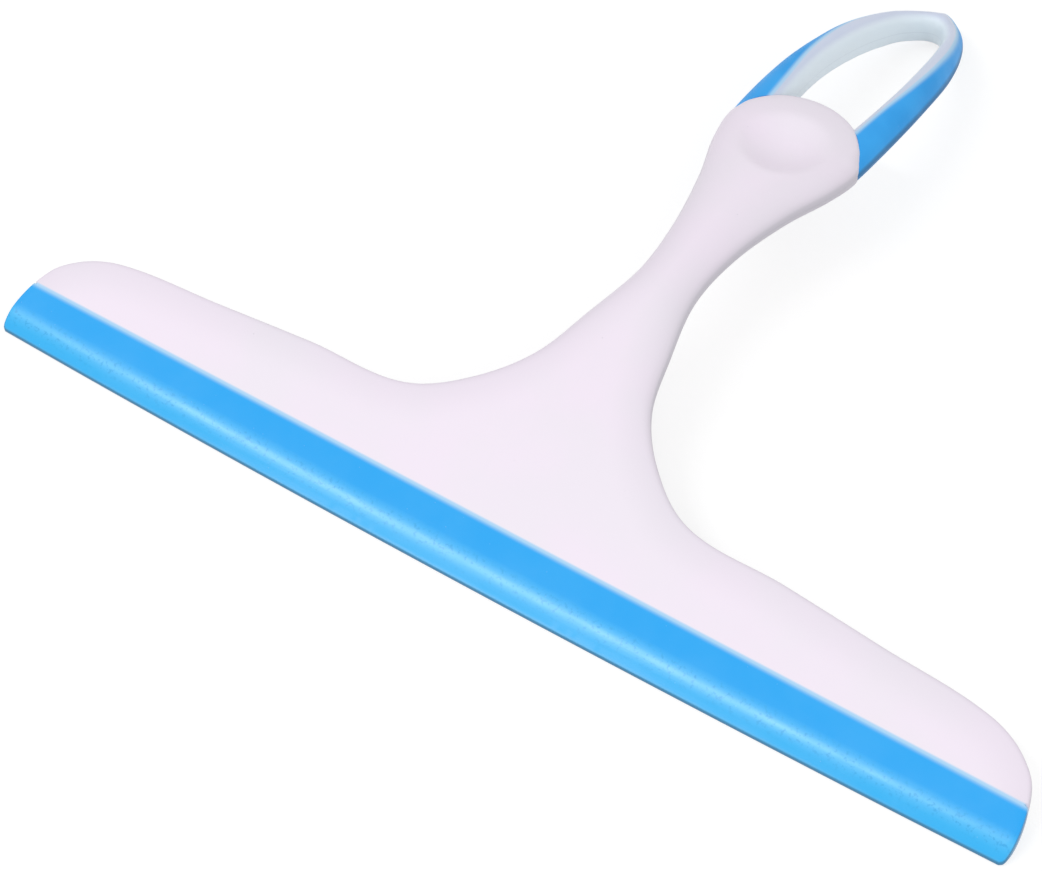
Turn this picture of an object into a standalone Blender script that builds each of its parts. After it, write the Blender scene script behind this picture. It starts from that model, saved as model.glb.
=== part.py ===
"""A window squeegee: a stiff arched handle with a T head, a rubber blade moulded on the head's front
edge, and a soft grip moulded round the outside of the hanging loop.

Metres, +Z up. X runs along the blade and +Y from the blade to the loop. Plan positions (x, y) are
measured from the line between the lip's two corners, and place() then centres the whole part on
the origin. Each piece is drawn flat and then arched: arch(y) is the height of the middle surface.
"""

import math

import bmesh
import bpy
import numpy as np
from mathutils import Matrix, Vector
from mathutils.geometry import interpolate_bezier

# Overall sizes
BLADE_LENGTH = 0.240  # lip corner to lip corner, along X
REACH = 0.1925  # lip corners to loop tip, along Y
LIP_CROWN = 0.0016  # how far the lip bows forward at mid length
GAP = 0.0003  # between pieces that touch

# Head and blade
SEAM_Y = 0.0104  # where plastic meets rubber
HEAD_PITCH = math.radians(21.3)
HEAD_DEPTH_AT_END = 0.0117  # behind the seam, at the head's rounded ends
HEAD_DEPTH_AT_NECK = 0.0157  # behind the seam, where the arms run into the neck
HEAD_END_ROUND = 0.0155
HEAD_THICKNESS = 0.0045
SEAM_HEIGHT = 0.0041  # middle of the plate at the seam
LIP_THICKNESS = 0.0018
LIP_CORNER_ROUND = 0.0012

# Handle, pad and loop
NECK_HEIGHT = 0.0218  # middle of the handle at the top of its arch
NECK_HALF_WIDTH = 0.0071
HANDLE_THICKNESS = 0.0085
LOOP_LENGTH = 0.0750  # pad centre to loop tip
PAD_END_RADIUS_EXTRA = 0.0001  # beyond half the pad's width
DIMPLE_RADIUS = 0.0098
DIMPLE_DEPTH = 0.0018
PAD_STEP = 0.0003  # the pad stands this much proud of the loop
LOOP_WALL = 0.0024  # plastic wall round the hole
HOLE_HALF_WIDTH = 0.0093
SIDE_SKIN = 0.0048  # rubber outside it at the loop's sides
TIP_WALL = 0.0037  # plastic wall at the loop's tip
TIP_SKIN = 0.0037  # rubber outside it
TIP_DROOP = 0.0015  # how far the loop's tip would dip below the table, where it is cut flat

# Edges
BODY_EDGE = 0.0011
GRIP_EDGE = 0.0030
LIP_EDGE = 0.0002

# Locking features under the rubber
TONGUE_REACH = 0.0032
TONGUE_THICKNESS = 0.0013
TONGUE_END_INSET = 0.0060
PEG_HOLE_RADIUS = 0.0009
PEG_PITCH = 0.0160
RIB_REACH = 0.0013
RIB_THICKNESS = 0.0024

# Flexing lip
HINGE_Y = 0.0040
BARREL_INSET = 0.00005  # how far the round root of the lip stays inside the blade's faces

SLICE = 0.0075  # spacing of the cross cuts that let a flat piece follow the arch
STEPS = 4  # outline points per span between two nodes

HALF = BLADE_LENGTH / 2
PAD_Y = REACH - LOOP_LENGTH
HEAD_BACK_Y = SEAM_Y + HEAD_DEPTH_AT_NECK
NECK_Y = HEAD_BACK_Y + 0.50 * (PAD_Y - HEAD_BACK_Y)
CENTRE_Y = (REACH - LIP_CROWN) / 2
PAD_HALF_WIDTH = HOLE_HALF_WIDTH + LOOP_WALL + SIDE_SKIN
PAD_END_RADIUS = PAD_HALF_WIDTH + PAD_END_RADIUS_EXTRA
TIP_HEIGHT = HANDLE_THICKNESS / 2 - TIP_DROOP
TALL = 0.080  # height of cutters that go right through


def arch(y):
    """Height of the middle surface: a sloping blade, a flat pitched head, then a long arch."""
    pitch = math.tan(HEAD_PITCH)
    back = SEAM_HEIGHT + (HEAD_BACK_Y - SEAM_Y) * pitch
    knots = (  # y, height, slope
        (HEAD_BACK_Y, back, pitch),
        (HEAD_BACK_Y + 0.38 * (PAD_Y - HEAD_BACK_Y), NECK_HEIGHT - 0.0026, 0.170),
        (PAD_Y - 0.24 * (PAD_Y - HEAD_BACK_Y), NECK_HEIGHT, -0.015),
        (PAD_Y + 0.10 * LOOP_LENGTH, NECK_HEIGHT - 0.0014, -0.075),
        (PAD_Y + 0.44 * LOOP_LENGTH, NECK_HEIGHT - 0.0047, -0.215),
        (REACH, TIP_HEIGHT, -0.425),
    )
    height = np.interp(y, (0.0, SEAM_Y, HEAD_BACK_Y), (LIP_THICKNESS / 2, SEAM_HEIGHT, back))
    for (y0, z0, s0), (y1, z1, s1) in zip(knots, knots[1:]):
        run = y1 - y0
        t = np.clip((y - y0) / run, 0.0, 1.0)
        hermite = (
            z0 * (2 * t**3 - 3 * t**2 + 1)
            + run * s0 * (t**3 - 2 * t**2 + t)
            + z1 * (3 * t**2 - 2 * t**3)
            + run * s1 * (t**3 - t**2)
        )
        height = np.where(y > y0, hermite, height)
    return height


def thickness(y):
    """Whole thickness: the blade tapers to its lip, and the head thickens into the handle."""
    blade = np.interp(y, (0.0, SEAM_Y), (LIP_THICKNESS, HEAD_THICKNESS))
    t = np.clip((y - HEAD_BACK_Y) / (NECK_Y - HEAD_BACK_Y), 0.0, 1.0)
    return blade + (HANDLE_THICKNESS - HEAD_THICKNESS) * t * t * (3 - 2 * t)


def direction(vector):
    return vector.normalized() if vector.length > 0 else vector


def outline(half):
    """Closed outline, counterclockwise, from the nodes of its right half, front to back.

    A node is (x, y), or (x, y, "corner") where the outline turns sharply.
    """
    left = [(-node[0], *node[1:]) for node in reversed(half) if node[0] > 0]
    nodes = [(Vector(node[:2]), len(node) > 2) for node in [*half, *left]]
    count = len(nodes)

    def tangent(i):
        here = nodes[i][0]
        ahead = direction(nodes[(i + 1) % count][0] - here)
        behind = direction(here - nodes[i - 1][0])
        return direction(ahead + behind)

    points = []
    for i in range(count):
        (a, a_sharp), (b, b_sharp) = nodes[i], nodes[(i + 1) % count]
        reach = (b - a).length / 3
        straight = direction(b - a)
        leave = straight if a_sharp else tangent(i)
        arrive = straight if b_sharp else tangent((i + 1) % count)
        span = interpolate_bezier(a, a + leave * reach, b - arrive * reach, b, STEPS + 1)
        points += [tuple(p[:2]) for p in span[:-1]]
    return np.array(points)


def grown(points, by):
    """The outline moved outwards by this much."""
    along = np.roll(points, -1, axis=0) - np.roll(points, 1, axis=0)
    along /= np.linalg.norm(along, axis=1)[:, None]
    return points + by * np.stack([along[:, 1], -along[:, 0]], axis=1)


def pad_end_arc():
    """The pad's round end, from its side to its middle."""
    angles = np.radians(np.linspace(77.0, 0.0, 6))
    return [(PAD_END_RADIUS * math.sin(a), PAD_Y + PAD_END_RADIUS * math.cos(a)) for a in angles]


def handle_outline():
    """Head, neck and pad, with the pad's round end."""
    neck_run = PAD_Y - HEAD_BACK_Y
    end = HALF - HEAD_END_ROUND
    arc = pad_end_arc()
    return outline(
        [
            (HALF, SEAM_Y, "corner"),
            (HALF - 0.0012, SEAM_Y + 0.40 * HEAD_DEPTH_AT_END),
            (HALF - 0.42 * HEAD_END_ROUND, SEAM_Y + 0.76 * HEAD_DEPTH_AT_END),
            (end, SEAM_Y + HEAD_DEPTH_AT_END),
            ((end + 0.0460) / 2, SEAM_Y + (HEAD_DEPTH_AT_END + HEAD_DEPTH_AT_NECK) / 2),
            (0.0460, HEAD_BACK_Y),
            (0.0325, HEAD_BACK_Y + 0.020 * neck_run),
            (0.0220, HEAD_BACK_Y + 0.105 * neck_run),
            (0.0143, HEAD_BACK_Y + 0.210 * neck_run),
            (0.0101, HEAD_BACK_Y + 0.350 * neck_run),
            (NECK_HALF_WIDTH, NECK_Y),
            (0.0076, HEAD_BACK_Y + 0.640 * neck_run),
            (0.0110, HEAD_BACK_Y + 0.820 * neck_run),
            (PAD_HALF_WIDTH - 0.0014, PAD_Y - 0.04 * neck_run),
            (*arc[0], "corner"),
            *arc[1:],
        ]
    )


def loop_outline():
    """The outside of the loop, from inside the pad to the tip."""
    return outline(
        [
            (0.0, PAD_Y - 0.004, "corner"),
            (PAD_HALF_WIDTH - 0.0008, PAD_Y - 0.004, "corner"),
            (PAD_HALF_WIDTH, PAD_Y + 0.13 * LOOP_LENGTH),
            (PAD_HALF_WIDTH - 0.0006, PAD_Y + 0.42 * LOOP_LENGTH),
            (PAD_HALF_WIDTH - 0.0032, PAD_Y + 0.67 * LOOP_LENGTH),
            (PAD_HALF_WIDTH - 0.0075, PAD_Y + 0.87 * LOOP_LENGTH),
            (PAD_HALF_WIDTH - 0.0117, PAD_Y + 0.963 * LOOP_LENGTH),
            (0.0, REACH),
        ]
    )


def hole_outline():
    """The hanging hole. Its near end lies inside the pad, whose round end closes it."""
    far = LOOP_LENGTH - TIP_SKIN - TIP_WALL
    return outline(
        [
            (0.0, PAD_Y + 0.08 * far, "corner"),
            (HOLE_HALF_WIDTH - 0.0016, PAD_Y + 0.08 * far, "corner"),
            (HOLE_HALF_WIDTH - 0.0003, PAD_Y + 0.31 * far),
            (HOLE_HALF_WIDTH, PAD_Y + 0.47 * far),
            (HOLE_HALF_WIDTH - 0.0007, PAD_Y + 0.63 * far),
            (HOLE_HALF_WIDTH - 0.0024, PAD_Y + 0.80 * far),
            (HOLE_HALF_WIDTH - 0.0051, PAD_Y + 0.935 * far),
            (0.0, PAD_Y + far),
        ]
    )


def core_outline():
    """The outside of the plastic ring round the hole."""
    far = LOOP_LENGTH - TIP_SKIN
    wide = HOLE_HALF_WIDTH + LOOP_WALL
    return outline(
        [
            (0.0, PAD_Y, "corner"),
            (wide - 0.0022, PAD_Y, "corner"),
            (wide - 0.0006, PAD_Y + 0.29 * far),
            (wide, PAD_Y + 0.46 * far),
            (wide - 0.0003, PAD_Y + 0.63 * far),
            (wide - 0.0017, PAD_Y + 0.78 * far),
            (wide - 0.0046, PAD_Y + 0.91 * far),
            (wide - 0.0080, PAD_Y + 0.975 * far),
            (0.0, PAD_Y + far),
        ]
    )


def blade_outline(back_y):
    """The rubber in front of back_y, with its bowed lip."""
    half_angle = 2 * math.atan(LIP_CROWN / HALF)
    radius = HALF / math.sin(half_angle)
    bow = [
        (radius * math.sin(a), radius * (math.cos(half_angle) - math.cos(a)))
        for a in np.linspace(0.0, half_angle, 6)[:-1]
    ]
    return outline(
        [
            *bow,
            (HALF - LIP_CORNER_ROUND, 0.0, "corner"),
            (HALF - 0.3 * LIP_CORNER_ROUND, 0.3 * LIP_CORNER_ROUND),
            (HALF, LIP_CORNER_ROUND, "corner"),
            (HALF, back_y, "corner"),
            (0.0, back_y, "corner"),
        ]
    )


def material(name, colour, roughness):
    """A plain Principled material."""
    made = bpy.data.materials.new(name)
    made.use_nodes = True
    shader = made.node_tree.nodes["Principled BSDF"]
    shader.inputs["Base Color"].default_value = (*colour, 1.0)
    shader.inputs["Roughness"].default_value = roughness
    shader.inputs["Metallic"].default_value = 0.0
    return made


def slab(name, splines, thick, edge=0.0):
    """A flat plate of these closed outlines, a second one being a hole, with rounded edges."""
    curve = bpy.data.curves.new(name, "CURVE")
    curve.dimensions = "2D"
    curve.fill_mode = "BOTH"
    curve.extrude = thick / 2 - edge
    curve.bevel_depth = edge
    curve.bevel_resolution = 1
    curve.offset = -edge
    for points in splines:
        spline = curve.splines.new("POLY")
        spline.points.add(len(points) - 1)
        for point, (x, y) in zip(spline.points, points):
            point.co = (x, y, 0.0, 1.0)
        spline.use_cyclic_u = True
    flat = bpy.data.objects.new(name, curve)
    bpy.context.scene.collection.objects.link(flat)
    graph = bpy.context.evaluated_depsgraph_get()
    mesh = bpy.data.meshes.new_from_object(flat.evaluated_get(graph))
    bpy.data.objects.remove(flat)
    bpy.data.curves.remove(curve)
    return mesh


def arched(mesh, follow_thickness=False):
    """Slices a flat plate across and lifts it to the middle surface.

    With follow_thickness the plate, drawn HANDLE_THICKNESS thick, also takes thickness(y).
    """
    shape = bmesh.new()
    shape.from_mesh(mesh)
    bmesh.ops.remove_doubles(shape, verts=shape.verts, dist=1e-6)
    low = min(vert.co.y for vert in shape.verts)
    high = max(vert.co.y for vert in shape.verts)
    cuts = [SEAM_Y, HEAD_BACK_Y, *np.arange(HEAD_BACK_Y + SLICE, REACH, SLICE)]
    for y in cuts:
        if low < y < high:
            everything = [*shape.verts, *shape.edges, *shape.faces]
            bmesh.ops.bisect_plane(
                shape, geom=everything, dist=1e-7, plane_co=(0, y, 0), plane_no=(0, 1, 0)
            )
    bmesh.ops.triangulate(shape, faces=shape.faces)
    for vert in shape.verts:
        share = thickness(vert.co.y) / HANDLE_THICKNESS if follow_thickness else 1.0
        vert.co.z = vert.co.z * share + arch(vert.co.y)
    bmesh.ops.recalc_face_normals(shape, faces=shape.faces)
    shape.to_mesh(mesh)
    shape.free()
    return mesh


def place(mesh, name, group, finish=None, pivot=(0.0, 0.0)):
    """Makes the object in its group, with its origin at this (y, z) of the plan frame."""
    mesh.transform(Matrix.Translation((0.0, -pivot[0], -pivot[1])))
    mesh.name = name
    made = bpy.data.objects.new(name, mesh)
    made.location = (0.0, pivot[0] - CENTRE_Y, pivot[1])
    group.objects.link(made)
    if finish:
        mesh.materials.append(finish)
        mesh.set_sharp_from_angle(angle=math.radians(40.0))
    else:
        made.hide_render = True
        made.display_type = "WIRE"
    return made


def joined(target, tool, operation, solver="EXACT"):
    """Cuts the tool from the target, or joins it on."""
    change = target.modifiers.new(tool.name, "BOOLEAN")
    change.operation = operation
    change.solver = solver
    change.object = tool


def box(half_width, y0, y1):
    """Right half's nodes of a plain rectangle."""
    corners = ((0.0, y0), (half_width, y0), (half_width, y1), (0.0, y1))
    return [(*corner, "corner") for corner in corners]


def cylinders(radius, height, centres, axis="Z"):
    """One mesh of separate round pins at these (x, y, z)."""
    shape = bmesh.new()
    turn = Matrix.Rotation(math.pi / 2, 4, "Y") if axis == "X" else Matrix.Identity(4)
    for centre in centres:
        bmesh.ops.create_cone(
            shape,
            cap_ends=True,
            segments=16,
            radius1=radius,
            radius2=radius,
            depth=height,
            matrix=Matrix.Translation(centre) @ turn,
        )
    mesh = bpy.data.meshes.new("pins")
    shape.to_mesh(mesh)
    shape.free()
    return mesh


def peg_centres():
    """Where rubber pegs pass through the tongue, evenly along the blade."""
    y = SEAM_Y - TONGUE_REACH / 2
    side = int((HALF - TONGUE_END_INSET - PEG_PITCH / 4) // PEG_PITCH)
    return [(PEG_PITCH * i, y, float(arch(y))) for i in range(-side, side + 1)]


def tongue_half(gap):
    """The tongue's rectangle, this much larger all round and open into the head."""
    front = SEAM_Y - TONGUE_REACH - gap
    return box(HALF - TONGUE_END_INSET + gap, front, SEAM_Y + HEAD_DEPTH_AT_END / 3)


def make_body(parts, cutters, plastic):
    """The stiff moulding: head, neck, pad, ring round the hole, and what locks the rubber on."""
    plate = arched(slab("body", [handle_outline()], HANDLE_THICKNESS, BODY_EDGE), True)
    body = place(plate, "body", parts, plastic)
    hole = hole_outline()
    core = core_outline()
    ring_thickness = HANDLE_THICKNESS - 2 * PAD_STEP
    ring = place(arched(slab("ring", [core, hole], ring_thickness)), "ring", cutters)
    rib_splines = [grown(core, RIB_REACH), grown(hole, LOOP_WALL / 2)]
    rib = place(arched(slab("rib", rib_splines, RIB_THICKNESS)), "rib", cutters)
    tongue_plate = slab("tongue", [outline(tongue_half(0.0))], TONGUE_THICKNESS)
    tongue = place(arched(tongue_plate), "tongue", cutters)
    for piece in (ring, rib, tongue):
        joined(body, piece, "UNION", "MANIFOLD")
    holes = cylinders(PEG_HOLE_RADIUS, 3 * TONGUE_THICKNESS, peg_centres())
    joined(body, place(holes, "peg_holes", cutters), "DIFFERENCE")
    sphere = (DIMPLE_RADIUS**2 + DIMPLE_DEPTH**2) / (2 * DIMPLE_DEPTH)
    top = float(arch(PAD_Y)) + HANDLE_THICKNESS / 2
    ball = bmesh.new()
    bmesh.ops.create_uvsphere(
        ball,
        u_segments=64,
        v_segments=48,
        radius=sphere,
        matrix=Matrix.Translation((0.0, PAD_Y, top + sphere - DIMPLE_DEPTH)),
    )
    mesh = bpy.data.meshes.new("thumb_dimple")
    ball.to_mesh(mesh)
    ball.free()
    joined(body, place(mesh, "thumb_dimple", cutters), "DIFFERENCE")


def make_blade(parts, cutters, rubber):
    """The rubber blade: a base locked on the tongue, and the lip that flexes in front of it."""
    barrel = float(thickness(HINGE_Y)) / 2 - BARREL_INSET
    front = HINGE_Y + barrel + GAP
    base_outline = outline(box(HALF, front, SEAM_Y - GAP))
    base_plate = slab("blade_base", [base_outline], HANDLE_THICKNESS)
    base = place(arched(base_plate, True), "blade_base", parts, rubber)
    groove_plate = slab("groove", [outline(tongue_half(GAP))], TONGUE_THICKNESS + 2 * GAP)
    joined(base, place(arched(groove_plate), "groove", cutters), "DIFFERENCE", "MANIFOLD")
    pegs = cylinders(PEG_HOLE_RADIUS - GAP, TONGUE_THICKNESS + 4 * GAP, peg_centres())
    joined(base, place(pegs, "pegs", cutters), "UNION")

    lip_plate = slab("blade_lip", [blade_outline(HINGE_Y)], HANDLE_THICKNESS, LIP_EDGE)
    axis = (HINGE_Y, float(arch(HINGE_Y)))
    lip = place(arched(lip_plate, True), "blade_lip", parts, rubber, pivot=axis)
    rod = cylinders(barrel, BLADE_LENGTH - 2 * GAP, [(0.0, *axis)], axis="X")
    joined(lip, place(rod, "lip_barrel", cutters), "UNION")


def make_grip(parts, cutters, rubber):
    """The soft skin round the outside of the loop, cut off by the pad's round end."""
    skin = slab("grip", [loop_outline()], HANDLE_THICKNESS, GRIP_EDGE)
    grip = place(arched(skin, True), "grip", parts, rubber)
    shoulder = pad_end_arc()[0]
    pad_space = outline(
        [
            (0.0, PAD_Y - PAD_END_RADIUS, "corner"),
            (2 * PAD_HALF_WIDTH, PAD_Y - PAD_END_RADIUS, "corner"),
            (2 * PAD_HALF_WIDTH, shoulder[1], "corner"),
            (*shoulder, "corner"),
            *pad_end_arc()[1:],
        ]
    )
    core = core_outline()
    rib_space = slab("rib_space", [grown(core, RIB_REACH + GAP)], RIB_THICKNESS + 2 * GAP)
    for name, plate in (
        ("pad_space", slab("pad_space", [grown(pad_space, GAP)], TALL)),
        ("core_space", slab("core_space", [grown(core, GAP)], TALL)),
        ("rib_space", rib_space),
    ):
        joined(grip, place(arched(plate), name, cutters), "DIFFERENCE")
    joined(grip, make_table(cutters), "DIFFERENCE")


def make_table(cutters):
    """What lies below the lip's level: it leaves a small flat under the loop's tip."""
    shape = bmesh.new()
    size = Matrix.Diagonal((TALL, LOOP_LENGTH, TALL, 1.0))
    bmesh.ops.create_cube(shape, size=1.0, matrix=Matrix.Translation((0.0, REACH, -TALL / 2)) @ size)
    mesh = bpy.data.meshes.new("table")
    shape.to_mesh(mesh)
    shape.free()
    return place(mesh, "table", cutters)


def main():
    for thing in list(bpy.data.objects):
        bpy.data.objects.remove(thing)
    parts = bpy.data.collections.new("window_squeegee")
    cutters = bpy.data.collections.new("cutters")
    for group in (parts, cutters):
        bpy.context.scene.collection.children.link(group)
    plastic = material("white_plastic", (0.84, 0.78, 0.86), 0.35)
    blade_rubber = material("blade_rubber", (0.06, 0.46, 0.98), 0.45)
    grip_rubber = material("grip_rubber", (0.05, 0.33, 0.83), 0.50)
    make_body(parts, cutters, plastic)
    make_blade(parts, cutters, blade_rubber)
    make_grip(parts, cutters, grip_rubber)


main()
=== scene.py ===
"""Looks of the window squeegee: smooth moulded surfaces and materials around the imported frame.

Metres, +Z up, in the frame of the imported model. Plan positions (x, y) are measured, as in the design,
from the line between the lip's two corners. Each moulding is a plan region, cut into triangles, whose
top and bottom are heights over the plan: both start at the outline, halfway up, and round over to full
thickness as they run inwards.
"""

import math

import bpy
import numpy as np
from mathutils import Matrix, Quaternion, Vector
from mathutils.geometry import delaunay_2d_cdt, interpolate_bezier
from mathutils.kdtree import KDTree


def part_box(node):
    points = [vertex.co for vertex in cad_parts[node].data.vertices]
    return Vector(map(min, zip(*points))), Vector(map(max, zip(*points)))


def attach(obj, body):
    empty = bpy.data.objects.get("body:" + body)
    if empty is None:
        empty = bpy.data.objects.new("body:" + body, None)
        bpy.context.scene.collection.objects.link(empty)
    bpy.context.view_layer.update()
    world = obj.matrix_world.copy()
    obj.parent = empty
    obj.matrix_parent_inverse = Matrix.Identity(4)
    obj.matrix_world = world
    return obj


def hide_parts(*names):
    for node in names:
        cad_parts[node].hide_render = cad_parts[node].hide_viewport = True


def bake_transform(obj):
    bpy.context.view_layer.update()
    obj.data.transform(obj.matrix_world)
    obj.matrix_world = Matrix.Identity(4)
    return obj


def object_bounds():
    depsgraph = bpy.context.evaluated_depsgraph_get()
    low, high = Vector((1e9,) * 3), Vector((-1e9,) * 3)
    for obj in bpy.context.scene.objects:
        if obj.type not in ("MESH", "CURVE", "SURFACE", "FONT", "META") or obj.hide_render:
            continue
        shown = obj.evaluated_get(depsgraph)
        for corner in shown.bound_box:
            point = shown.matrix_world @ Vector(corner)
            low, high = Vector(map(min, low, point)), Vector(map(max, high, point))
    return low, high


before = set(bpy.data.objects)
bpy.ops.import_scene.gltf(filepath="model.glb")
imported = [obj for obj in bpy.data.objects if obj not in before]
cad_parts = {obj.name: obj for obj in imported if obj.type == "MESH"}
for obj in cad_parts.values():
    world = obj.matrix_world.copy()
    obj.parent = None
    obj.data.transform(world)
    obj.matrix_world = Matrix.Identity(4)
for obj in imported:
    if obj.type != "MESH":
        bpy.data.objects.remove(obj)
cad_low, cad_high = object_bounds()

MM = 0.001

# Sizes of the design
GAP = 0.3 * MM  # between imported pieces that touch
LIP_CROWN = 1.6 * MM  # how far the lip bows forward in its middle
HALF = cad_high.x
REACH = cad_high.y - cad_low.y - LIP_CROWN
CENTRE_Y = REACH - cad_high.y
SEAM_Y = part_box("blade_base")[1].y + GAP + CENTRE_Y
LOOP_LENGTH = 75.0 * MM
PAD_Y = REACH - LOOP_LENGTH
HEAD_PITCH = math.radians(21.3)
HEAD_DEPTH_AT_END = 11.7 * MM
HEAD_DEPTH_AT_NECK = 15.7 * MM
HEAD_BACK_Y = SEAM_Y + HEAD_DEPTH_AT_NECK
NECK_RUN = PAD_Y - HEAD_BACK_Y
NECK_Y = HEAD_BACK_Y + 0.5 * NECK_RUN
HEAD_END_ROUND = 15.5 * MM
SEAM_INSET = 1.1 * MM  # how far the ends have curved in by the seam
HEAD_THICKNESS = 4.5 * MM
SEAM_HEIGHT = 4.1 * MM
LIP_THICKNESS = 0.8 * MM
LIP_CORNER_ROUND = 1.2 * MM
NECK_HEIGHT = 21.8 * MM
NECK_HALF_WIDTH = 7.1 * MM
HANDLE_THICKNESS = 8.5 * MM
TIP_DROOP = 1.5 * MM
TIP_HEIGHT = HANDLE_THICKNESS / 2 - TIP_DROOP
HOLE_HALF_WIDTH = 9.3 * MM
LOOP_WALL = 2.4 * MM
SIDE_SKIN = 4.8 * MM
PAD_HALF_WIDTH = HOLE_HALF_WIDTH + LOOP_WALL + SIDE_SKIN
PAD_END_RADIUS = PAD_HALF_WIDTH + 0.1 * MM
PAD_END_ANGLE = 77.0  # degrees that its arc spans to each side
TIP_WALL = 3.7 * MM
TIP_SKIN = 3.7 * MM
PAD_STEP = 0.3 * MM  # the pad stands this much proud of the loop
DIMPLE_RADIUS = 9.8 * MM
DIMPLE_DEPTH = 3.0 * MM

# Shape of the fine surfaces
OUTLINE_STEP = 0.7 * MM
GRID_STEP = 1.1 * MM
GRID_CLEARANCE = 0.6  # share of a grid step that the grid keeps from every other point
ROW_ANGLES = np.radians([12.0, 24.0, 36.0, 48.0, 60.0, 74.0, 90.0])
ROW_CLEARANCE = 0.93  # share of its depth that a row's point keeps from the whole outline
ON_OUTLINE = 1e-3 * MM  # a point this near an outline lies on it
MEETING = 1e-7  # metres of height within which top and bottom share their point
CREASE = math.radians(50.0)
BLOCK = 2000  # points measured at a time
RIDGE_Y = 3.3 * MM  # where the blade's thick root ends and its wiping lip begins
RIDGE_HEIGHT = 0.80 * MM
RIDGE_SOFTNESS = 0.70  # 0 would make a sharp ridge
HOLE_ROUND = 0.9 * MM  # rounding of the hole's lower rim
HOLE_SLOPE = 2.8 * MM  # how far out from the hole the top starts to fall towards it
HOLE_FALL = 3.6 * MM  # and how far it has fallen at the hole
CROWN_EXTRA = 0.9 * MM  # how much higher the loop's crown is, two thirds of the way to its tip
LOOP_ROOT = 4.0 * MM  # how far in front of the pad's middle the loop's outline begins
LOOP_OVERLAP = 0.8 * MM  # how far the loop's pieces reach in under the pad

# Finishes, as linear colours
PLASTIC = (0.905, 0.815, 0.925)
PLASTIC_CLOUD = (0.880, 0.820, 0.905)
# painted shade for the plastic's edges and sides, also the colour of its dust specks and parting line
PLASTIC_SHADE_AND_MARKS = (0.560, 0.540, 0.600)
RING = (0.720, 0.780, 0.930)  # with RING_CLOUD, darker and bluer than the handle's plastic: partly painted shade, partly the blue rubber showing through the loop's thin wall
RING_CLOUD = (0.680, 0.750, 0.920)
# painted shade for the ring's edges and sides, also the colour of its dust specks and parting line
RING_SHADE_AND_MARKS = (0.440, 0.480, 0.600)
# painted light: lightens the hole's wall, which lies in shade, to the brightness of the ring's top
RING_WALL_PAINTED_LIGHT = (0.850, 0.940, 1.000)
SEAM = (0.430, 0.690, 0.930)  # rubber thin enough over the plastic to look pale
BLADE_FRONT = (0.080, 0.440, 0.800)
# Painted light: the lip's two tones are paler than the root's, and the ridge's tone is a painted
# highlight.
BLADE_LIP_LIT = (0.028, 0.455, 0.920)
BLADE_LIP_BACK_LIT = (0.035, 0.470, 0.930)
BLADE_RIDGE_HIGHLIGHT = (0.080, 0.530, 0.960)
BLADE_ROOT = (0.018, 0.400, 0.930)
BLADE_SEAM = (0.016, 0.405, 0.930)
BLADE_CLOUD = (0.090, 0.500, 0.930)
BLADE_PORE = (0.30, 0.66, 0.96)
BLADE_BUBBLE = (0.020, 0.330, 0.740)
# painted shade along the blade's outline
BLADE_EDGE_SHADE = (0.030, 0.140, 0.260)
GRIP = (0.024, 0.355, 0.860)
GRIP_HANDLED = (0.034, 0.400, 0.920)
# painted shade along the grip's outline
GRIP_EDGE_SHADE = (0.012, 0.110, 0.260)
GRIP_DUST = (0.30, 0.62, 0.95)

# Studio
FLOOR_ALBEDO = 0.35  # what the camera and reflections see, beside the glow
FLOOR_GLOW = 0.72
FLOOR_BOUNCE = 0.70  # what the object is lit by
FLOOR_SIZE = 6.0
FLOOR_DROP = 0.05 * MM  # below the object, so that the two don't share a plane
WORLD_LEVEL = 0.72


def arch(y):
    """Height of the middle surface: a sloping blade, a straight pitched head, then a long arch."""
    pitch = math.tan(HEAD_PITCH)
    back = SEAM_HEIGHT + (HEAD_BACK_Y - SEAM_Y) * pitch
    knots = (  # y, height, slope
        (HEAD_BACK_Y, back, pitch),
        (HEAD_BACK_Y + 0.38 * NECK_RUN, NECK_HEIGHT - 2.6 * MM, 0.170),
        (PAD_Y - 0.24 * NECK_RUN, NECK_HEIGHT, -0.015),
        (PAD_Y + 0.10 * LOOP_LENGTH, NECK_HEIGHT - 1.4 * MM, -0.075),
        (PAD_Y + 0.44 * LOOP_LENGTH, NECK_HEIGHT - 4.7 * MM, -0.215),
        (REACH, TIP_HEIGHT, -0.425),
    )
    height = np.interp(y, (0.0, SEAM_Y, HEAD_BACK_Y), (LIP_THICKNESS / 2, SEAM_HEIGHT, back))
    for (y0, z0, s0), (y1, z1, s1) in zip(knots, knots[1:]):
        run = y1 - y0
        t = np.clip((y - y0) / run, 0.0, 1.0)
        hermite = (
            z0 * (2 * t**3 - 3 * t**2 + 1)
            + run * s0 * (t**3 - 2 * t**2 + t)
            + z1 * (3 * t**2 - 2 * t**3)
            + run * s1 * (t**3 - t**2)
        )
        height = np.where(y > y0, hermite, height)
    return height


def thickness(y):
    """Whole thickness: the blade tapers to its lip, and the head thickens into the handle."""
    blade = np.interp(y, (0.0, SEAM_Y), (LIP_THICKNESS, HEAD_THICKNESS))
    t = np.clip((y - HEAD_BACK_Y) / (NECK_Y - HEAD_BACK_Y), 0.0, 1.0)
    return blade + (HANDLE_THICKNESS - HEAD_THICKNESS) * t * t * (3 - 2 * t)


def direction(vector):
    return vector.normalized() if vector.length > 0 else vector


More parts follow.
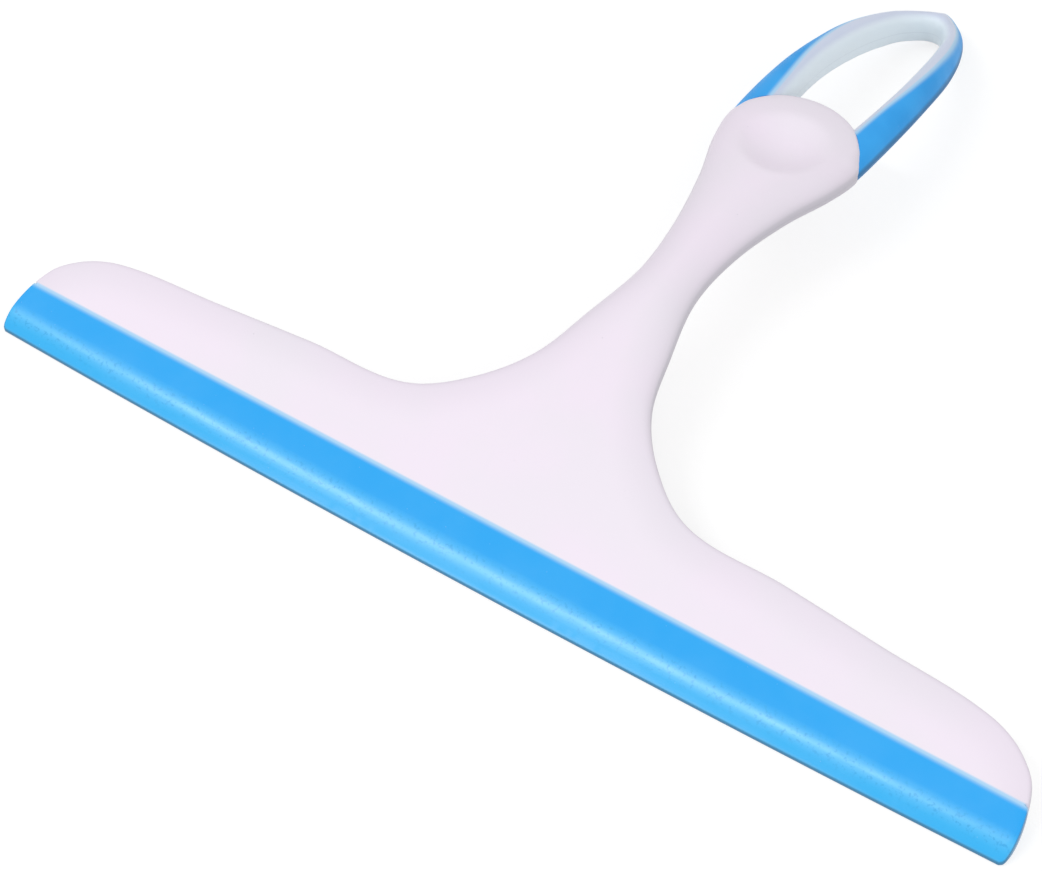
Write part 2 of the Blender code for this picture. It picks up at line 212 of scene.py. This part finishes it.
def outline(half):
    """Closed outline, counterclockwise, from the nodes of its right half, front to back.

    A node is (x, y), or (x, y, "corner") where the outline turns sharply.
    """
    left = [(-node[0], *node[1:]) for node in reversed(half) if node[0] > 0]
    nodes = [(Vector(node[:2]), len(node) > 2) for node in [*half, *left]]
    count = len(nodes)

    def tangent(i):
        here = nodes[i][0]
        ahead = direction(nodes[(i + 1) % count][0] - here)
        behind = direction(here - nodes[i - 1][0])
        return direction(ahead + behind)

    points = []
    for i in range(count):
        (a, a_sharp), (b, b_sharp) = nodes[i], nodes[(i + 1) % count]
        reach = (b - a).length / 3
        straight = direction(b - a)
        leave = straight if a_sharp else tangent(i)
        arrive = straight if b_sharp else tangent((i + 1) % count)
        steps = max(2, math.ceil((b - a).length / OUTLINE_STEP))
        span = interpolate_bezier(a, a + leave * reach, b - arrive * reach, b, steps + 1)
        points += [tuple(p[:2]) for p in span[:-1]]
    return np.array(points)


def inward(points):
    """Unit normals of a counterclockwise outline, pointing into it."""
    along = np.roll(points, -1, axis=0) - np.roll(points, 1, axis=0)
    along /= np.linalg.norm(along, axis=1)[:, None]
    return np.stack([-along[:, 1], along[:, 0]], axis=1)


def pad_end_arc(radius=PAD_END_RADIUS):
    """The pad's round end, from its side to its middle."""
    angles = np.radians(np.linspace(PAD_END_ANGLE, 0.0, 12))
    return [(radius * math.sin(a), PAD_Y + radius * math.cos(a)) for a in angles]


def pad_cover():
    """The plan area in front of the pad's round end, where the pad hides the loop."""
    arc = pad_end_arc(PAD_END_RADIUS - LOOP_OVERLAP)
    wide = 2 * PAD_HALF_WIDTH
    corners = [(0.0, PAD_Y - wide), (wide, PAD_Y - wide), (wide, arc[0][1]), arc[0]]
    return outline([*[(*corner, "corner") for corner in corners], *arc[1:]])


def squeegee_outline():
    """Blade, head, neck and pad, with the lip's bow in front and the pad's round end behind."""
    half_angle = 2 * math.atan(LIP_CROWN / HALF)
    radius = HALF / math.sin(half_angle)
    bow = [
        (radius * math.sin(a), radius * (math.cos(half_angle) - math.cos(a)))
        for a in np.linspace(0.0, half_angle, 6)[:-1]
    ]
    end = HALF - HEAD_END_ROUND
    arc = pad_end_arc()
    return outline(
        [
            *bow,
            (HALF - LIP_CORNER_ROUND, 0.0, "corner"),
            (HALF - 0.4 * LIP_CORNER_ROUND, 0.4 * LIP_CORNER_ROUND),
            (HALF - 0.1 * LIP_CORNER_ROUND, 1.3 * LIP_CORNER_ROUND),
            (HALF, 0.45 * SEAM_Y),
            (HALF - SEAM_INSET, SEAM_Y),
            (HALF - 0.20 * HEAD_END_ROUND, SEAM_Y + 0.40 * HEAD_DEPTH_AT_END),
            (HALF - 0.42 * HEAD_END_ROUND, SEAM_Y + 0.67 * HEAD_DEPTH_AT_END),
            (HALF - 0.66 * HEAD_END_ROUND, SEAM_Y + 0.855 * HEAD_DEPTH_AT_END),
            (end, SEAM_Y + HEAD_DEPTH_AT_END),
            (79.0 * MM, SEAM_Y + 0.45 * HEAD_DEPTH_AT_END + 0.55 * HEAD_DEPTH_AT_NECK),
            (57.0 * MM, HEAD_BACK_Y - 0.05 * MM),
            (33.0 * MM, HEAD_BACK_Y + 0.018 * NECK_RUN),
            (22.0 * MM, HEAD_BACK_Y + 0.096 * NECK_RUN),
            (14.2 * MM, HEAD_BACK_Y + 0.203 * NECK_RUN),
            (10.1 * MM, HEAD_BACK_Y + 0.350 * NECK_RUN),
            (NECK_HALF_WIDTH, NECK_Y),
            (7.6 * MM, HEAD_BACK_Y + 0.640 * NECK_RUN),
            (11.0 * MM, HEAD_BACK_Y + 0.820 * NECK_RUN),
            (PAD_HALF_WIDTH - 1.4 * MM, PAD_Y - 0.04 * NECK_RUN),
            *arc,
        ]
    )


def loop_outline():
    """The outside of the loop, from inside the pad to the tip."""
    return outline(
        [
            (0.0, PAD_Y - LOOP_ROOT, "corner"),
            (PAD_HALF_WIDTH - 0.8 * MM, PAD_Y - LOOP_ROOT, "corner"),
            (PAD_HALF_WIDTH, PAD_Y + 0.13 * LOOP_LENGTH),
            (PAD_HALF_WIDTH - 0.3 * MM, PAD_Y + 0.42 * LOOP_LENGTH),
            (PAD_HALF_WIDTH - 2.9 * MM, PAD_Y + 0.67 * LOOP_LENGTH),
            (PAD_HALF_WIDTH - 8.1 * MM, PAD_Y + 0.87 * LOOP_LENGTH),
            (PAD_HALF_WIDTH - 12.5 * MM, PAD_Y + 0.96 * LOOP_LENGTH),
            (0.0, REACH),
        ]
    )


def hole_outline():
    """The hanging hole. Its near end lies inside the pad, whose round end closes it."""
    far = LOOP_LENGTH - TIP_SKIN - TIP_WALL
    return outline(
        [
            (0.0, PAD_Y + 0.08 * far, "corner"),
            (HOLE_HALF_WIDTH - 1.6 * MM, PAD_Y + 0.08 * far, "corner"),
            (HOLE_HALF_WIDTH - 0.3 * MM, PAD_Y + 0.31 * far),
            (HOLE_HALF_WIDTH, PAD_Y + 0.47 * far),
            (HOLE_HALF_WIDTH - 0.7 * MM, PAD_Y + 0.63 * far),
            (HOLE_HALF_WIDTH - 2.4 * MM, PAD_Y + 0.80 * far),
            (HOLE_HALF_WIDTH - 5.1 * MM, PAD_Y + 0.935 * far),
            (0.0, PAD_Y + far),
        ]
    )


def core_outline():
    """The line round the loop where plastic meets rubber."""
    far = LOOP_LENGTH - TIP_SKIN
    wide = HOLE_HALF_WIDTH + LOOP_WALL
    return outline(
        [
            (0.0, PAD_Y, "corner"),
            (wide - 2.2 * MM, PAD_Y, "corner"),
            (wide - 0.6 * MM, PAD_Y + 0.29 * far),
            (wide + 0.4 * MM, PAD_Y + 0.46 * far),
            (wide + 0.1 * MM, PAD_Y + 0.63 * far),
            (wide - 1.7 * MM, PAD_Y + 0.78 * far),
            (wide - 5.1 * MM, PAD_Y + 0.91 * far),
            (wide - 8.2 * MM, PAD_Y + 0.975 * far),
            (0.0, PAD_Y + 1.01 * far),
        ]
    )


def distance(points, loop):
    """How far each plan point lies from the nearest stretch of a closed outline."""
    ends = np.roll(loop, -1, axis=0)
    spans = ends - loop
    lengths = np.maximum((spans**2).sum(axis=1), 1e-18)
    nearest = []
    for block in np.array_split(points, max(1, len(points) // BLOCK)):
        offset = block[:, None, :] - loop[None]
        share = np.clip((offset * spans).sum(axis=2) / lengths, 0.0, 1.0)
        gap = offset - share[:, :, None] * spans
        nearest.append(np.sqrt((gap**2).sum(axis=2).min(axis=1)))
    return np.concatenate(nearest)


def inside(points, loop):
    """Whether each plan point lies inside a closed outline."""
    found = []
    x0, y0 = loop.T
    x1, y1 = np.roll(loop, -1, axis=0).T
    for block in np.array_split(points, max(1, len(points) // BLOCK)):
        x, y = block[:, :1], block[:, 1:]
        spans = (y0 > y) != (y1 > y)
        with np.errstate(divide="ignore", invalid="ignore"):
            cross = x < (x1 - x0) * (y - y0) / (y1 - y0) + x0
        found.append((spans & cross).sum(axis=1) % 2 == 1)
    return np.concatenate(found)


def ring_rows(loop, widths):
    """Rows of points that follow a closed outline inwards, closest near it, as far as each width.

    A negative width makes rows outside the outline.
    """
    normals = inward(loop)
    rows = []
    for angle in ROW_ANGLES:
        depth = (1 - math.cos(angle)) * widths
        row = loop + normals * depth[:, None]
        rows.append(row[distance(row, loop) > ROW_CLEARANCE * np.abs(depth)])
    return np.concatenate(rows)


def plan(loops, rows, line=None):
    """Triangles of the plan. Every closed loop, and the open line if given, stays as edges."""
    edges, first = [], 0
    for loop in loops:
        edges += [(first + i, first + (i + 1) % len(loop)) for i in range(len(loop))]
        first += len(loop)
    points = list(loops)
    if line is not None:
        edges += [(first + i, first + i + 1) for i in range(len(line) - 1)]
        points.append(line)
    near = np.concatenate([*points, *rows])
    tree = KDTree(len(near))
    for i, point in enumerate(near):
        tree.insert((*point, 0.0), i)
    tree.balance()
    low, high = loops[0].min(axis=0), loops[0].max(axis=0)
    grid = []
    for i, y in enumerate(np.arange(low[1], high[1], GRID_STEP * math.sqrt(0.75))):
        for x in np.arange(low[0] + (i % 2) * GRID_STEP / 2, high[0], GRID_STEP):
            if tree.find((x, y, 0.0))[2] > GRID_CLEARANCE * GRID_STEP:
                grid.append((x, y))
    flat = [Vector(point) / MM for point in np.concatenate([near, grid])]
    corners, _, faces, *_ = delaunay_2d_cdt(flat, edges, [], 0, 1e-4, False)
    return np.array([tuple(corner) for corner in corners]) * MM, np.array([tuple(f) for f in faces])


def moulding(name, corners, faces, top, bottom, marks):
    """A closed solid over these plan triangles, with a wall wherever its edge has any height.

    Its points carry the marks, which the finishes read. The mark "level" is the share of full
    height, so it is negative underneath.
    """
    used, faces = np.unique(faces, return_inverse=True)
    faces = faces.reshape(-1, 3)
    x, y = corners[used].T
    high, low = top[used], bottom[used]
    directed = np.concatenate([faces[:, [0, 1]], faces[:, [1, 2]], faces[:, [2, 0]]])
    pairs = set(map(tuple, directed.tolist()))
    rim = [(a, b) for a, b in pairs if (b, a) not in pairs]
    meets = np.zeros(len(used), bool)
    meets[[a for a, _ in rim]] = True
    meets &= high - low < MEETING
    under = np.where(meets, np.arange(len(used)), len(used) + np.cumsum(~meets) - 1)
    points = np.stack([x, y - CENTRE_Y, high], axis=1)
    below = np.stack([x, y - CENTRE_Y, low], axis=1)[~meets]
    walls = []
    for a, b in sorted(rim):
        wall = [b, a, under[a], under[b]]
        wall = [corner for i, corner in enumerate(wall) if corner not in wall[:i]]
        if len(wall) > 2:
            walls.append([int(corner) for corner in wall])
    mesh = bpy.data.meshes.new(name)
    sides = [*faces.tolist(), *under[faces[:, ::-1]].tolist(), *walls]
    mesh.from_pydata(np.concatenate([points, below]).tolist(), [], sides)
    for mark, values in marks.items():
        above, below = values[used], values[used][~meets] * (-1 if mark == "level" else 1)
        layer = mesh.attributes.new(mark, "FLOAT", "POINT")
        layer.data.foreach_set("value", np.concatenate([above, below]).astype(np.float32))
    mesh.validate()
    mesh.shade_smooth()
    mesh.set_sharp_from_angle(angle=CREASE)
    made = bpy.data.objects.new(name, mesh)
    bpy.context.scene.collection.objects.link(made)
    return made


def rounded(inset, width, power):
    """Share of full height at this distance from an edge that rounds over this width."""
    t = np.clip(inset / width, 0.0, 1.0)
    return (1 - (1 - t) ** power) ** (1 / power)


def squeegee_edge_width(y):
    """How far in from the outline the blade, head, neck and pad reach full thickness."""
    knots = (
        (0.0, 0.25),
        (1.5 * MM, 0.30),
        (SEAM_Y - 1.0 * MM, 0.60),
        (SEAM_Y + 3.0 * MM, 1.3),
        (HEAD_BACK_Y, 1.7),
        (HEAD_BACK_Y + 0.20 * NECK_RUN, 3.4),
        (HEAD_BACK_Y + 0.36 * NECK_RUN, 6.0),
        (NECK_Y, 6.9),
        (HEAD_BACK_Y + 0.70 * NECK_RUN, 7.2),
        (PAD_Y - 0.10 * NECK_RUN, 6.0),
        (PAD_Y + 0.10 * PAD_END_RADIUS, 4.6),
        (PAD_Y + 0.45 * PAD_END_RADIUS, 1.8),
        (PAD_Y + 0.80 * PAD_END_RADIUS, 1.2),
    )
    return np.interp(y, [knot[0] for knot in knots], [knot[1] * MM for knot in knots])


def loop_edge_width(y):
    """How far in from its outline the loop reaches full thickness."""
    shares = (0.0, 0.24, 0.44, 0.62, 0.82, 1.0)
    widths = (5.6, 4.9, 3.9, 2.9, 2.8, 4.3)
    return np.interp(y, [PAD_Y + share * LOOP_LENGTH for share in shares], [w * MM for w in widths])


def ridge(y):
    """Extra height on the blade's top, highest where the root ends and the lip begins."""
    rise, fall = y / RIDGE_Y, (SEAM_Y - y) / (SEAM_Y - RIDGE_Y)
    peak = (rise + fall - np.sqrt((rise - fall) ** 2 + RIDGE_SOFTNESS**2)) / 2
    return RIDGE_HEIGHT * np.clip(peak, 0.0, None)


def dimple(x, y):
    """Depth of the round hollow for the thumb, with a soft rim."""
    share = np.clip(np.hypot(x, y - PAD_Y) / DIMPLE_RADIUS, 0.0, 1.0)
    return DIMPLE_DEPTH * (1 - share**2) ** 1.3


def make_squeegee():
    """The plastic head, neck and pad, and the rubber blade: one outline parted along the seam."""
    loop = squeegee_outline()
    end = HALF - SEAM_INSET
    seam = np.array([(x, SEAM_Y) for x in np.linspace(-end, end, round(2 * end / GRID_STEP))])
    rows = [ring_rows(loop, squeegee_edge_width(loop[:, 1]))]
    corners, faces = plan([loop], rows, seam)
    faces = faces[inside(corners[faces].mean(axis=1), loop)]
    x, y = corners.T
    inset = distance(corners, loop)
    inset[inset < ON_OUTLINE] = 0.0
    power = np.interp(y, (SEAM_Y, HEAD_BACK_Y, NECK_Y), (2.6, 2.4, 2.1))
    full = rounded(inset, squeegee_edge_width(y), power)
    bow = LIP_CROWN * np.clip(1 - (x / HALF) ** 2, 0.0, 1.0)
    along = np.where(y < SEAM_Y, SEAM_Y * (y + bow) / (SEAM_Y + bow), y)
    half = thickness(along) / 2 * full
    top = arch(along) + half + full * ridge(along) - dimple(x, y) * full
    bottom = arch(along) - half
    marks = {"inset": inset, "level": full, "along": along, "seam": np.abs(y - SEAM_Y)}
    front = corners[faces].mean(axis=1)[:, 1] < SEAM_Y
    handle = moulding("moulded_handle", corners, faces[~front], top, bottom, marks)
    blade = moulding("rubber_blade", corners, faces[front], top, bottom, marks)
    return handle, blade


def make_loop():
    """The plastic ring round the hanging hole, and the rubber grip outside it, which share a section."""
    outer, core, hole, cover = loop_outline(), core_outline(), hole_outline(), pad_cover()
    rows = [
        ring_rows(outer, loop_edge_width(outer[:, 1])),
        ring_rows(hole, np.full(len(hole), -HOLE_SLOPE)),
    ]
    corners, faces = plan([outer, core, hole, cover], rows)
    middles = corners[faces].mean(axis=1)
    keep = inside(middles, outer) & ~inside(middles, hole) & ~inside(middles, cover)
    faces, middles = faces[keep], middles[keep]
    y = corners[:, 1]
    outside, within = distance(corners, outer), distance(corners, hole)
    outside[outside < ON_OUTLINE] = 0.0
    share = np.clip((y - PAD_Y) / LOOP_LENGTH, 0.0, 1.0)
    full = rounded(outside, loop_edge_width(y), np.interp(share, (0.2, 0.5), (2.0, 1.6)))
    half = (thickness(y) / 2 - PAD_STEP) * full
    crown = CROWN_EXTRA * (27 / 4) * share**2 * (1 - share)  # 27/4 makes its highest value CROWN_EXTRA
    top = arch(y) + half + crown * full
    top -= HOLE_FALL * (1 - rounded(within, HOLE_SLOPE, 2.0)) * (outside > 0)
    bottom = arch(y) - half + HOLE_ROUND * (1 - rounded(within, HOLE_ROUND, 2.0)) * (outside > 0)
    marks = {"inset": np.minimum(outside, within), "level": full, "seam": distance(corners, core)}
    in_core = inside(middles, core)
    ring = moulding("hanging_ring", corners, faces[in_core], top, bottom, marks)
    grip = moulding("loop_grip", corners, faces[~in_core], top, bottom, marks)
    return ring, grip


class Finish:
    """A material being built up: one Principled shader and the textures that feed it."""

    def __init__(self, name):
        self.material = bpy.data.materials.new(name)
        self.material.use_nodes = True
        self.tree = self.material.node_tree
        self.shader = self.tree.nodes["Principled BSDF"]
        self.place = self.put("TexCoord").outputs["Object"]

    def put(self, kind, inputs=(), **settings):
        """Adds a node. Its inputs are numbers, colours, or the outputs they are linked from."""
        made = self.tree.nodes.new("ShaderNode" + kind)
        for key, value in settings.items():
            setattr(made, key, value)
        for key, value in dict(inputs).items():
            self.feed(made.inputs[key], value)
        return made

    def feed(self, socket, value):
        if isinstance(value, bpy.types.NodeSocket):
            self.tree.links.new(value, socket)
        elif isinstance(value, tuple) and socket.type == "RGBA":
            socket.default_value = (*value, 1.0)
        else:
            socket.default_value = value

    def noise(self, size, detail=2.0, stretch=(1.0, 1.0, 1.0)):
        """Smooth noise, 0 to 1, whose features are about this size, or longer where stretched."""
        scale = tuple(1.0 / (size * longer) for longer in stretch)
        place = self.put("Mapping", {"Vector": self.place, "Scale": scale}).outputs[0]
        return self.put("TexNoise", {"Vector": place, "Scale": 1.0, "Detail": detail}).outputs[0]

    def specks(self, spacing, radius):
        """Small round spots, 1 inside and 0 outside, about one in each cell of this size."""
        cells = self.put("TexVoronoi", {"Vector": self.place, "Scale": 1.0 / spacing})
        return self.share(cells.outputs["Distance"], radius / spacing, 0.5 * radius / spacing)

    def mark(self, name):
        """A value that the mesh's points carry."""
        return self.put("Attribute", attribute_name=name).outputs["Fac"]

    def share(self, source, start, end):
        """0 where the source is at start, 1 at end, and smooth between them."""
        inputs = {"Value": source, "From Min": start, "From Max": end}
        return self.put("MapRange", inputs, interpolation_type="SMOOTHSTEP").outputs[0]

    def scaled(self, source, low, high):
        """Low where the source is 0 and high where it is 1."""
        return self.put("MapRange", {"Value": source, "To Min": low, "To Max": high}).outputs[0]

    def maths(self, operation, *values):
        return self.put("Math", enumerate(values), operation=operation).outputs[0]

    def mixed(self, share, first, second):
        """The first colour where share is 0, and the second where it is 1."""
        inputs = {0: share, 6: first, 7: second}
        return self.put("Mix", inputs, data_type="RGBA").outputs[2]

    def ramp(self, source, start, end, stops):
        """Colours along a line. Each stop is its distance, in mm, and its colour."""
        place = self.put("MapRange", {"Value": source, "From Min": start, "From Max": end}).outputs[0]
        made = self.put("ValToRGB", {"Fac": place})
        elements = made.color_ramp.elements
        elements[0].position, elements[1].position = 0.0, 1.0
        for distance_mm, _ in stops[1:-1]:
            elements.new((distance_mm * MM - start) / (end - start))
        for element, (_, colour) in zip(elements, stops):
            element.color = (*colour, 1.0)
        return made.outputs["Color"]

    def relief(self, *layers):
        """Chains bumps, each a height, 0 to 1, and how deep it is in metres."""
        normal = None
        for height, depth in layers:
            inputs = {"Height": height, "Distance": depth, "Strength": 1.0}
            if normal is not None:
                inputs["Normal"] = normal
            normal = self.put("Bump", inputs).outputs[0]
        self.feed(self.shader.inputs["Normal"], normal)

    def parting_line(self, width):
        """1 on the thin line, halfway up the sides, where the two halves of the mould met."""
        return self.share(self.maths("ABSOLUTE", self.mark("level")), width, 0.4 * width)

    def seam(self, width):
        """1 where plastic and rubber meet, thinning out to 0 over this width."""
        return self.maths("POWER", self.share(self.mark("seam"), width, 0.0), 1.6)

    def surface(self, colour, roughness, specular):
        self.feed(self.shader.inputs["Base Color"], colour)
        self.feed(self.shader.inputs["Roughness"], roughness)
        self.shader.inputs["Specular IOR Level"].default_value = specular
        return self.material


def plastic_finish(name, colour, cloud, edge, rim=None):
    """Moulded white plastic: faint clouds, rare specks, painted shade along the edges and sides, and a
    soft orange-peel skin. A rim colour, if given, paints light on the shaded wall of the hole.
    """
    made = Finish(name)
    clouds = made.share(made.noise(26.0 * MM, 3.0), 0.36, 0.68)
    tone = made.mixed(clouds, colour, cloud)
    # Painted shade: the plastic darkens within 10 mm of its outline, on its rounded sides, and in a thin
    # line along the outline.
    margin_shade = made.share(made.mark("inset"), 10.0 * MM, 0.0)
    tone = made.mixed(made.maths("MULTIPLY", margin_shade, 0.20), tone, edge)
    side = made.share(made.mark("level"), 0.62, 0.15)
    tone = made.mixed(made.maths("MULTIPLY", side, 0.45), tone, edge)
    outline_shade = made.share(made.mark("inset"), 0.45 * MM, 0.0)
    tone = made.mixed(made.maths("MULTIPLY", outline_shade, 0.55), tone, edge)
    tone = made.mixed(made.seam(0.55 * MM), tone, SEAM)
    # Painted light: where a rim colour is given, the hole's shaded wall is lightened towards it.
    if rim:
        tone = made.mixed(made.share(made.mark("inset"), 1.6 * MM, 0.2 * MM), tone, rim)
    dust = made.maths("MULTIPLY", made.specks(6.5 * MM, 0.20 * MM), 0.40)
    tone = made.mixed(dust, tone, edge)
    line = made.parting_line(0.07)
    tone = made.mixed(made.maths("MULTIPLY", line, 0.15), tone, edge)
    skin, swell = made.noise(0.5 * MM, 3.0), made.noise(3.2 * MM, 1.0)
    rubbed = made.noise(1.4 * MM, 3.0, stretch=(1.0, 9.0, 1.0))
    roughness = made.scaled(made.maths("MULTIPLY", rubbed, skin), 0.29, 0.52)
    made.relief((swell, 0.020 * MM), (skin, 0.006 * MM), (line, 0.02 * MM))
    return made.surface(tone, roughness, 0.30)


def blade_finish():
    """Blue rubber: a pale seam, painted shade along its outline, painted light on the lip and a painted
    highlight at the ridge, pores, and fine lines drawn along the blade.
    """
    made = Finish("blade_rubber")
    waver = made.scaled(made.noise(2.0 * MM, 2.0), -0.15 * MM, 0.15 * MM)
    along = made.maths("ADD", made.mark("along"), waver)
    # Painted light along the blade: the lip's tones are paler than the root's, and the ridge's is
    # palest, a painted highlight along the lamp's streak.
    tone = made.ramp(
        along,
        0.0,
        SEAM_Y,
        (
            (0.00, BLADE_FRONT),
            (0.60, BLADE_LIP_LIT),
            (1.60, BLADE_LIP_BACK_LIT),
            (RIDGE_Y / MM, BLADE_RIDGE_HIGHLIGHT),
            (RIDGE_Y / MM + 2.2, BLADE_ROOT),
            (SEAM_Y / MM, BLADE_SEAM),
        ),
    )
    drawn = made.noise(0.35 * MM, 3.0, stretch=(22.0, 1.0, 1.0))
    clouds = made.share(made.noise(9.0 * MM, 3.0), 0.30, 0.75)
    tone = made.mixed(made.maths("MULTIPLY", clouds, 0.10), tone, BLADE_CLOUD)
    pores = made.specks(2.6 * MM, 0.16 * MM)
    tone = made.mixed(made.maths("MULTIPLY", pores, 0.22), tone, BLADE_PORE)
    # Painted shade: a dark line along the blade's outline, where its rounded edge turns away from the
    # light.
    edge = made.share(made.mark("inset"), 0.38 * MM, 0.0)
    tone = made.mixed(made.maths("MULTIPLY", edge, 0.75), tone, BLADE_EDGE_SHADE)
    off_ridge = made.maths("ABSOLUTE", made.maths("SUBTRACT", along, RIDGE_Y))
    near_ridge = made.share(off_ridge, 2.6 * MM, 0.4 * MM)
    bubbles = made.share(made.noise(0.75 * MM, 3.0), 0.52, 0.70)
    bubbles = made.maths("MULTIPLY", made.maths("MULTIPLY", bubbles, near_ridge), 0.55)
    tone = made.mixed(bubbles, tone, BLADE_BUBBLE)
    tone = made.mixed(made.seam(1.3 * MM), tone, SEAM)
    grain = made.noise(0.22 * MM, 2.0)
    roughness = made.scaled(made.maths("MULTIPLY", drawn, clouds), 0.21, 0.30)
    made.relief((drawn, 0.003 * MM), (grain, 0.0012 * MM), (pores, 0.006 * MM))
    return made.surface(tone, roughness, 0.42)


def grip_finish():
    """Softer blue rubber for the hand: a matt, finely pebbled skin, rubbed smoother in patches."""
    made = Finish("grip_rubber")
    handled = made.share(made.noise(11.0 * MM, 3.0), 0.35, 0.70)
    tone = made.mixed(handled, GRIP, GRIP_HANDLED)
    tone = made.mixed(made.seam(1.3 * MM), tone, SEAM)
    # Painted shade: a dark line along the grip's outline, where its rounded edge turns away from the
    # light.
    edge = made.share(made.mark("inset"), 0.40 * MM, 0.0)
    tone = made.mixed(made.maths("MULTIPLY", edge, 0.75), tone, GRIP_EDGE_SHADE)
    dust = made.maths("MULTIPLY", made.specks(4.2 * MM, 0.13 * MM), 0.25)
    tone = made.mixed(dust, tone, GRIP_DUST)
    line = made.parting_line(0.08)
    pebbles = made.noise(0.30 * MM, 2.0)
    rubbed = made.maths("MULTIPLY", handled, -0.6)
    roughness = made.scaled(made.maths("ADD", rubbed, pebbles), 0.46, 0.60)
    made.relief((pebbles, 0.012 * MM), (line, 0.05 * MM))
    return made.surface(tone, roughness, 0.35)


def make_floor():
    """A plain white floor that keeps a soft shadow and throws light back up.

    The camera, and reflections, see it with an added glow. The light that it throws has none.
    """
    bpy.ops.mesh.primitive_plane_add(size=FLOOR_SIZE, location=(0.0, 0.0, cad_low.z - FLOOR_DROP))
    floor = bpy.context.active_object
    floor.name = "floor"
    made = bpy.data.materials.new("floor_white")
    made.use_nodes = True
    tree = made.node_tree
    tree.nodes.clear()
    output = tree.nodes.new("ShaderNodeOutputMaterial")
    add = tree.nodes.new("ShaderNodeAddShader")
    matt = tree.nodes.new("ShaderNodeBsdfDiffuse")
    glow = tree.nodes.new("ShaderNodeEmission")
    path = tree.nodes.new("ShaderNodeLightPath")
    seen = path.outputs["Is Camera Ray"]
    for ray in ("Is Glossy Ray", "Is Transmission Ray"):
        either = tree.nodes.new("ShaderNodeMath")
        either.operation = "MAXIMUM"
        tree.links.new(seen, either.inputs[0])
        tree.links.new(path.outputs[ray], either.inputs[1])
        seen = either.outputs[0]
    for socket, hidden, visible in (
        (matt.inputs["Color"], FLOOR_BOUNCE, FLOOR_ALBEDO),
        (glow.inputs["Strength"], 0.0, FLOOR_GLOW),
    ):
        level = tree.nodes.new("ShaderNodeMapRange")
        level.inputs["To Min"].default_value = hidden
        level.inputs["To Max"].default_value = visible
        tree.links.new(seen, level.inputs["Value"])
        tree.links.new(level.outputs[0], socket)
    tree.links.new(matt.outputs[0], add.inputs[0])
    tree.links.new(glow.outputs[0], add.inputs[1])
    tree.links.new(add.outputs[0], output.inputs["Surface"])
    floor.data.materials.append(made)


def make_lamp(name, place, size, power, target=(0.0, 0.0, 0.0)):
    """A rectangular soft lamp aimed at a point."""
    data = bpy.data.lights.new(name, "AREA")
    data.shape = "RECTANGLE"
    data.size, data.size_y = size
    data.energy = power
    lamp = bpy.data.objects.new(name, data)
    bpy.context.scene.collection.objects.link(lamp)
    lamp.location = place
    lamp.rotation_euler = (Vector(target) - Vector(place)).to_track_quat("-Z", "Y").to_euler()


def make_light():
    """An even pale sky, a soft key lamp, and a long lamp that draws the streak along the blade."""
    world = bpy.data.worlds.new("studio")
    bpy.context.scene.world = world
    world.use_nodes = True
    background = world.node_tree.nodes["Background"]
    background.inputs["Color"].default_value = (1.0, 1.0, 1.0, 1.0)
    background.inputs["Strength"].default_value = WORLD_LEVEL
    make_lamp("key", (0.70, -0.75, 0.70), (0.5, 0.5), 2.4)
    make_lamp("overhead", (-0.455, -0.57, 1.05), (0.62, 0.09), 3.1, target=(-0.455, 0.0, 0.0))


def make_camera():
    """The viewing position: from the blade's side, to the right of the handle and well above."""
    azimuth, elevation, roll = (math.radians(angle) for angle in (34.975, 49.231, -0.749))
    away = 0.65518
    target = Vector((-0.01274, -0.05788, -0.00079))
    back = Vector(
        (
            math.sin(azimuth) * math.cos(elevation),
            -math.cos(azimuth) * math.cos(elevation),
            math.sin(elevation),
        )
    )
    data = bpy.data.cameras.new("camera")
    data.sensor_width = 36.0
    data.lens = 110.45
    camera = bpy.data.objects.new("camera", data)
    bpy.context.scene.collection.objects.link(camera)
    camera.location = target + back * away
    turn = (-back).to_track_quat("-Z", "Y") @ Quaternion((0.0, 0.0, 1.0), roll)
    camera.rotation_euler = turn.to_euler()
    bpy.context.scene.camera = camera


def main():
    bpy.context.scene.view_settings.view_transform = "Standard"
    handle, blade = make_squeegee()
    ring, grip = make_loop()
    plastic = plastic_finish("handle_plastic", PLASTIC, PLASTIC_CLOUD, PLASTIC_SHADE_AND_MARKS)
    ring_plastic = plastic_finish("ring_plastic", RING, RING_CLOUD, RING_SHADE_AND_MARKS, RING_WALL_PAINTED_LIGHT)
    for piece, finish, slot, nodes in (
        (handle, plastic, "white_plastic", ("body",)),
        (ring, ring_plastic, "white_plastic", ("body",)),
        (grip, grip_finish(), "grip_rubber", ("grip",)),
        (blade, blade_finish(), "blade_rubber", ("blade_base", "blade_lip")),
    ):
        piece.data.materials.append(finish)
        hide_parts(*nodes)
    for piece in (handle, ring, grip):
        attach(piece, "squeegee")
    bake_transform(blade)
    make_floor()
    make_light()
    make_camera()


main()
